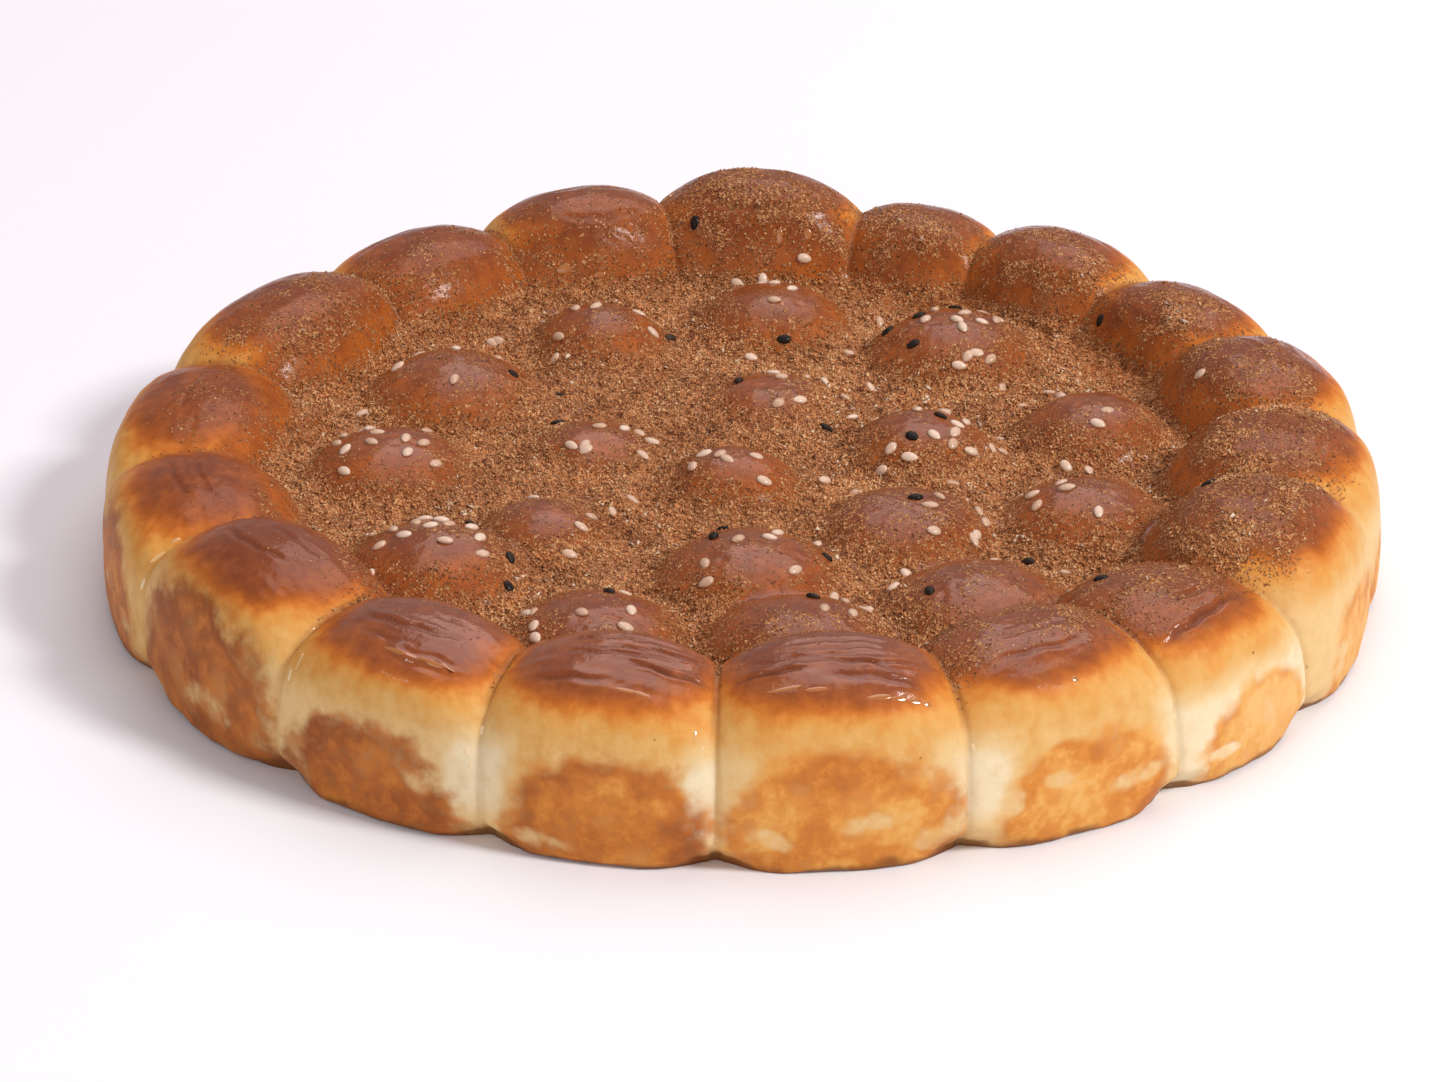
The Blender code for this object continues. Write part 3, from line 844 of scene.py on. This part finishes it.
def crust_material():
    """Baked dough: cream where it stayed pale, golden from the pan, glazed and dusted on top."""
    crust = Shader("crust")
    blotch = crust.noise(0.011, 3, 0.55)
    mottle = crust.noise(0.0034, 4, 0.62)
    ripple = crust.noise(0.0016, 2, 0.5)
    grain = crust.noise(0.0011, 3, 0.65)
    lower = {0: crust.place, 1: (1, 1, 0.16)}
    upright = crust.add("ShaderNodeVectorMath", lower, operation="MULTIPLY").outputs[0]
    streak = crust.noise(0.0035, place=upright)
    shift = crust.shifted(crust.span(blotch, 0.3, 0.7, -0.06, 0.06), mottle, 0.04)
    shift = crust.shifted(shift, streak, 0.06)
    dough = crust.ramp(crust.math("ADD", crust.measure("bake"), shift, clamp=True), DOUGH)
    pale = crust.measure("pale")
    dough = crust.mix(crust.span(pale, 0, 0.6), dough, (0.76, 0.52, 0.245))
    dough = crust.mix(crust.span(pale, 0.5, 1), dough, (0.83, 0.69, 0.46))
    dough = crust.mix(crust.span(mottle, 0.35, 0.7, 0, 0.3), dough, (0.84, 0.74, 0.6), "MULTIPLY")
    patch = crust.shifted(crust.measure("patch"), mottle, 0.18)
    depth = crust.shifted(crust.measure("dark"), mottle, -0.15)
    depth = crust.shifted(depth, blotch, -0.15, clamp=True)
    dough = crust.mix(crust.span(patch, 0, 1), dough, crust.ramp(depth, PAN))
    dough = crust.mix(crust.times(crust.measure("crease"), 0.6), dough, (0.27, 0.1, 0.03))
    dough = crust.mix(crust.times(crust.measure("foot"), 0.85), dough, (0.22, 0.075, 0.022))
    # Painted shade: the folds' grooves are darkened, the deeper the darker, and lose some gloss
    fold_shade = crust.measure("fold_shade")
    dough = crust.mix(crust.times(fold_shade, 0.7), dough, (0.13, 0.03, 0.01))

    specks = crust.add("ShaderNodeTexVoronoi", {"Vector": crust.place, "Scale": 1 / SPECK_SIZE})
    speck_tone = crust.add("ShaderNodeSeparateColor", {0: specks.outputs["Color"]})
    dust = crust.ramp(speck_tone.outputs[0], DUST)
    clump = crust.span(crust.math("ADD", mottle, blotch), 0.75, 1.25)
    dust = crust.mix(clump, crust.mix(1, dust, (0.68, 0.62, 0.6), "MULTIPLY"), dust)
    cover = crust.math("ADD", crust.measure("dust"), crust.span(grain, 0.25, 0.75, -0.32, 0.32))
    cover = crust.math("ADD", cover, crust.span(speck_tone.outputs[1], 0, 1, -0.2, 0.2))
    cover = crust.span(cover, 0.47, 0.64)
    crust.set(Base_Color=crust.mix(cover, dough, dust))

    crust.set(Roughness=crust.math("ADD", 0.5, crust.times(cover, 0.35)))
    clear = crust.math("SUBTRACT", 1, crust.times(cover, 0.85))
    clear = crust.times(clear, crust.math("SUBTRACT", 1, crust.times(fold_shade, 0.4)))
    glaze = crust.times(crust.measure("glaze"), clear)
    crust.set(Coat_Weight=glaze, Coat_Roughness=0.14, Coat_IOR=1.5, Specular_IOR_Level=0.12)
    swell = crust.math("ADD", blotch, crust.times(mottle, 0.5))
    swell = crust.math("ADD", swell, crust.times(ripple, 0.2))
    waves = crust.bump(swell, 0.28, 0.0012)
    crumbs = crust.times(cover, specks.outputs["Distance"])
    crust.set(Normal=crust.bump(crumbs, 0.8, 0.0007, waves), Coat_Normal=waves)
    return crust.material


def syrup_material():
    """Thick clear syrup, which shows the crust beneath: amber on top and cream on the wall."""
    syrup = Shader("syrup")
    syrup.set(Base_Color=syrup.ramp(syrup.measure("tone"), SYRUP_COLOURS))
    syrup.set(Roughness=0.08, Coat_Weight=1, Coat_Roughness=0.04)
    return syrup.material


def seed_material(name, colours, coat):
    """A hulled seed with a soft gloss."""
    seed = Shader(name)
    tone = seed.measure("tone")
    blotch = seed.noise(0.0007)
    mixed = seed.math("ADD", seed.times(tone, 0.65), seed.times(blotch, 0.35))
    seed.set(Base_Color=seed.ramp(mixed, colours))
    seed.set(Roughness=0.45, Coat_Weight=coat, Specular_IOR_Level=coat, Coat_Roughness=0.15)
    seed.set(Normal=seed.bump(seed.noise(0.0004), 0.3, 0.0002))
    return seed.material


def grain_material(name, darkest, lightest):
    """Ground spice: each grain has its own tone."""
    grain = Shader(name)
    grain.set(Base_Color=grain.ramp(grain.measure("tone"), ((0, darkest), (1, lightest))))
    grain.set(Roughness=0.7, Specular_IOR_Level=0.3)
    return grain.material


# Seeds

def seed_spots(draw):
    """Yields where each seed lies: spread round its roll's crown, clear of the others."""
    taken = []
    for bearing, distance, _, _, pale, dark, (off_x, off_y) in INNER_ROLLS:
        heart = on_bearing(bearing, distance / 1000) + np.array((off_x, off_y)) / 1000
        placed = 0
        while placed < pale + dark:
            spot = heart + np.array((draw.gauss(0, SEED_SPREAD), draw.gauss(0, SEED_SPREAD)))
            if any(math.dist(spot, other) < SEED_CLEARANCE for other in taken):
                continue
            taken.append(spot)
            placed += 1
            yield spot, draw.uniform(0, math.pi), placed <= pale


def stray_spots(draw):
    """Yields where the seeds lie that rolled off: in the valleys, and a few on the rim."""
    for _ in range(VALLEY_SEEDS):
        spot = on_bearing(draw.uniform(0, 360), VALLEY_REACH * math.sqrt(draw.random()))
        yield spot, draw.uniform(0, math.pi), draw.random() < PALE_SHARE
    for bearing, distance, pale in STRAY_SEEDS:
        yield on_bearing(bearing, distance / 1000), draw.uniform(0, math.pi), pale


def seed_form(columns, rows):
    """A seed of length, width and thickness 1, round at one end and pointed at the other."""
    points = [(0.5, 0, 0)]
    for row in range(1, rows):
        angle = math.pi * row / rows
        along = math.cos(angle)
        girth = math.sin(angle) ** 0.85 * (1 - 0.26 * max(0, -along) ** 1.3)
        for column in range(columns):
            turn = 2 * math.pi * column / columns
            points.append((along / 2, girth * math.cos(turn) / 2, girth * math.sin(turn) / 2))
    points.append((-0.5, 0, 0))
    faces = []
    for column in range(columns):
        after = (column + 1) % columns
        faces.append((0, 1 + after, 1 + column))
        for row in range(rows - 2):
            here = 1 + row * columns
            there = here + columns
            faces.append((here + column, here + after, there + after))
            faces.append((here + column, there + after, there + column))
        start = 1 + (rows - 2) * columns
        faces.append((start + column, start + after, len(points) - 1))
    return np.array(points), np.array(faces)


def lying_on(normal, turn):
    """The axes of a thing that lies on a surface: along it, across it and off it."""
    side = np.cross(normal, (math.cos(turn), math.sin(turn), 0))
    side /= np.linalg.norm(side)
    return np.stack([np.cross(side, normal), side, normal])


def make_seeds(loaf):
    """The sesame seeds, stuck to the glaze: pale ones and black ones."""
    form, faces = seed_form(12, 8)
    draw = random.Random(SEED_DRAW)
    extra = random.Random(SEED_DRAW + 1)
    kinds = {True: [], False: []}
    tones = {True: [], False: []}
    placed = [(*seed, 1) for seed in seed_spots(draw)]
    placed += [(*seed, STRAY_CLEAN) for seed in stray_spots(extra)]
    for spot, turn, pale, clean in placed:
        start = Vector((*(spot * INSIDE_BOX), 1))
        _, place, normal, _ = loaf.ray_cast(start, Vector((0, 0, -1)))
        axes = lying_on(normal, turn)
        own = np.array(SEED_SIZE) * np.array([extra.uniform(*span) for span in SEED_SPANS])
        rise = axes[2] * own[2] * (0.5 - SEED_SUNK - 0.25 * (1 - clean))
        kinds[pale].append(form * own @ axes + np.array(place) + rise)
        tones[pale].append(extra.random() * clean)
    pale = seed_material("pale_seed", PALE_SEED, 0.4)
    dark = seed_material("dark_seed", DARK_SEED, 0.12)
    join_copies("pale_seeds", kinds[True], faces, tones[True], pale)
    join_copies("dark_seeds", kinds[False], faces, tones[False], dark)


def join_copies(name, copies, faces, tones, material):
    """One piece of many copies of a form, each with its own tone."""
    count = len(copies[0])
    shifts = (np.arange(len(copies)) * count)[:, None, None]
    mesh = new_mesh(name, np.concatenate(copies), (faces + shifts).reshape(-1, 3))
    mesh.shade_smooth()
    add_measure(mesh, "tone", np.repeat(np.array(tones), count))
    new_piece(name, mesh, material)


# Syrup

def make_syrup(loaf):
    """Beads of syrup that ran together where the glaze is thick."""
    form, faces = seed_form(14, 10)
    beads = []
    tones = []
    for bearing, distance, height, length, width, turn in SYRUP:
        tones.append(ease(20, 33, height) if distance > RIM_DISTANCE * 1000 else 1)
        aim = Vector((*on_bearing(bearing, distance / 1000), height / 1000)) * INSIDE_BOX
        _, place, normal, _ = loaf.closest_point_on_mesh(aim)
        axes = lying_on(normal, math.radians(bearing + 90 + turn))
        tall = (0.4 - 0.16 * tones[-1]) * min(length, width)
        thin = 0.6 if height < 30 and width > length else 1
        sizes = np.array((length * 1.4 * thin, width * 1.1, tall * thin)) / 1000
        beads.append(form * sizes @ axes + np.array(place) - axes[2] * sizes[2] * 0.18)
    join_copies("syrup", beads, faces, tones, syrup_material())


# Ground spice

TETRA = np.array(((1, 1, 1), (1, -1, -1), (-1, 1, -1), (-1, -1, 1))) / math.sqrt(3)
TETRA_FACES = np.array(((0, 1, 2), (0, 3, 1), (0, 2, 3), (1, 3, 2)))

# Each kind of grain: its count, its smallest and largest size in metres, how much it gathers in
# drifts, from 0 to 1, and its darkest and lightest colour
GRAINS = {
    "spice_brown": (49000, 0.00017, 0.00105, 0.35, (0.3, 0.104, 0.036), (0.67, 0.278, 0.102)),
    "spice_gold": (36000, 0.00015, 0.00095, 0.6, (0.46, 0.2, 0.078), (0.8, 0.48, 0.235)),
    "spice_dark": (13000, 0.00015, 0.00085, 0.7, (0.12, 0.04, 0.015), (0.25, 0.085, 0.031)),
    "spice_pale": (1300, 0.00035, 0.0014, 0.93, (0.55, 0.33, 0.19), (0.84, 0.68, 0.52)),
}
GRAIN_DRAW = 8
FLAKE = (1.6, 0.85, 0.45)
DRIFT = 0.011
HIGHEST_GRAIN = 0.0418


def make_grains(points, quads, dust):
    """Loose grains, as thick as the dust that they lie in."""
    normal = point_normals(points, quads)
    corners = points[quads]
    area = np.linalg.norm(quad_crosses(corners), axis=1) / 2
    dusted = dust[quads].mean(axis=1)
    scarce = 0.0008 + 0.02 * ease(0.02, 0.3, dusted)
    weight = area * (scarce + dusted * ease(0.28, 0.85, dusted))
    centre = corners.mean(axis=1)
    generator = np.random.default_rng(GRAIN_DRAW)
    for name, (count, smallest, largest, gathered, *colours) in GRAINS.items():
        drift = ease(-0.15, 0.6, noise_at(centre, DRIFT, 90 * gathered))
        chance = weight * (1 - gathered + 2.5 * gathered * drift)
        chosen = generator.choice(len(quads), count, p=chance / chance.sum())
        share = generator.random((count, 4))
        share /= share.sum(axis=1)[:, None]
        place = np.einsum("ij,ijk->ik", share, points[quads[chosen]])
        up = np.einsum("ij,ijk->ik", share, normal[quads[chosen]])
        size = smallest + (largest - smallest) * generator.random(count) ** 3.2
        size *= 0.5 + 0.5 * ease(0.35, 0.9, dusted[chosen])
        basis = np.linalg.qr(generator.normal(size=(count, 3, 3)))[0]
        stretch = generator.uniform(0.6, 1.4, (count, 1, 3)) * FLAKE
        grain = TETRA * stretch @ basis * (size / 2 * 1.25)[:, None, None]
        grain += (place + up * (size * 0.12)[:, None])[:, None]
        copies = grain.reshape(-1, 3)
        copies[:, 2] = np.minimum(copies[:, 2], HIGHEST_GRAIN)
        faces = (TETRA_FACES + (np.arange(count) * 4)[:, None, None]).reshape(-1, 3)
        turned = np.linalg.det(basis) < 0
        faces = np.where(np.repeat(turned, 4)[:, None], faces[:, ::-1], faces)
        mesh = new_mesh(name, copies, faces)
        dry = 0.4 + 0.6 * ease(0.35, 0.85, dusted[chosen])
        drift = 0.6 * noise_at(place, 0.013, 6.1) + 0.85 * noise_at(place, 0.0032, 4.7)
        tone = dry * (0.55 * generator.random(count) + 0.33 + drift)
        add_measure(mesh, "tone", np.repeat(np.clip(tone, 0, 1), 4))
        new_piece(name, mesh, grain_material(name, *colours))


# Stage

# Each light's bearing and elevation in degrees, distance and size in metres, power in watts and
# colour
LIGHTS = {
    "key": (-25, 42, 2.6, (0.6, 0.6), 47.5, (1, 0.97, 0.93)),
    "side": (-150, 38, 1.5, (0.1, 0.1), 0.9, (1, 0.97, 0.95)),
    "overhead": (76, 62, 1.3, (1, 1.3), 7.5, (1, 0.83, 0.81)),
    "fill": (-109, 12, 1.2, (2, 1.2), 5.2, (1, 0.97, 0.94)),
}


def make_floor():
    """A plain white table top."""
    bpy.ops.mesh.primitive_plane_add(size=8, location=(0, 0, 0))
    floor = bpy.context.object
    floor.name = "floor"
    white = Shader("floor")
    white.set(Base_Color=(0.93, 0.94, 0.995, 1), Roughness=0.6, Specular_IOR_Level=0.1)
    floor.data.materials.append(white.material)
    floor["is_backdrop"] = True


def make_light(name, bearing, elevation, distance, size, power, colour):
    """A soft rectangular light that faces the loaf."""
    data = bpy.data.lights.new(name, "AREA")
    data.shape = "RECTANGLE"
    data.size, data.size_y = size
    data.energy = power
    data.color = colour
    light = bpy.data.objects.new(name, data)
    flat = on_bearing(bearing, distance * math.cos(math.radians(elevation)))
    light.location = (*flat, distance * math.sin(math.radians(elevation)))
    light.rotation_euler = (-light.location).to_track_quat("-Z", "Y").to_euler()
    bpy.context.scene.collection.objects.link(light)


def make_stage():
    """Floor, soft studio light, and the photograph's camera."""
    make_floor()
    for name, light in LIGHTS.items():
        make_light(name, *light)
    world = bpy.data.worlds.new("studio")
    world.use_nodes = True
    sky = world.node_tree.nodes["Background"]
    sky.inputs["Color"].default_value = (0.93, 0.94, 1, 1)
    sky.inputs["Strength"].default_value = 0.31
    bpy.context.scene.world = world
    data = bpy.data.cameras.new("camera")
    data.lens = CAMERA_LENS
    data.sensor_width = SENSOR_WIDTH
    camera = bpy.data.objects.new("camera", data)
    camera.location = CAMERA_PLACE
    camera.rotation_euler = Euler([math.radians(angle) for angle in CAMERA_TURN])
    bpy.context.scene.collection.objects.link(camera)
    bpy.context.scene.camera = camera
    bpy.context.scene.view_settings.view_transform = "Standard"


make_stage()
loaf, loaf_points, loaf_quads, loaf_measures = make_loaf(crust_material())
make_seeds(loaf)
make_syrup(loaf)
make_grains(loaf_points, loaf_quads, loaf_measures["dust"])

boxes = {"cad": CAD_BOX, "visual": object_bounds()}
{name: [list(corner) for corner in box] for name, box in boxes.items()}
